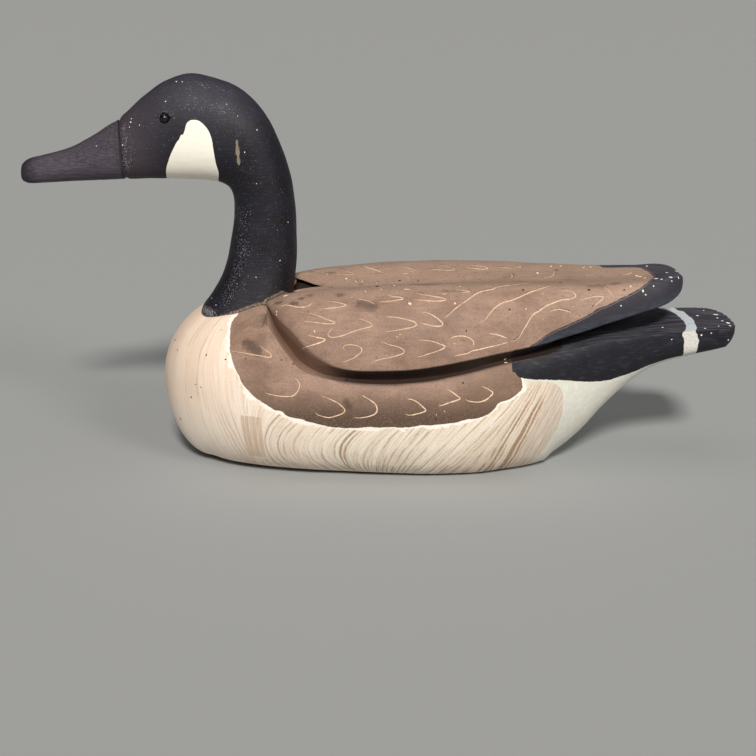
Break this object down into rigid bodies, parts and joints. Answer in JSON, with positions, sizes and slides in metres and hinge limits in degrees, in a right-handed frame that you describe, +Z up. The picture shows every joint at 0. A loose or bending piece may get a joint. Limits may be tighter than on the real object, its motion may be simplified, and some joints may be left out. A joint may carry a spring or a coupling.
{
  "type": "goose decoy",
  "caption": "Life-like carved wooden goose standing on its flat belly, with folded wings, a short tail and an upright head and neck in worn paint.",
  "frame": {"origin": "on the floor under the middle of the bird's overall length, on its own centre plane", "axes": "+X towards the tail with the bill towards -X, +Y towards the bird's right side, +Z up"},
  "size_m": [0.4432, 0.141, 0.2414],
  "materials": {
    "body_paint": "hand-painted carved wood: taupe back, cream breast, black tail, worn matte paint",
    "head_paint": "hand-painted wood, blue-black with a cream cheek patch, matte with dusty scuffs",
    "eye_glass": "glossy black bead"
  },
  "bodies": {
    "root": {"body": "body_paint", "head_neck": "head_paint", "eye_left": "eye_glass", "eye_right": "eye_glass"}
  },
  "joints": []
}
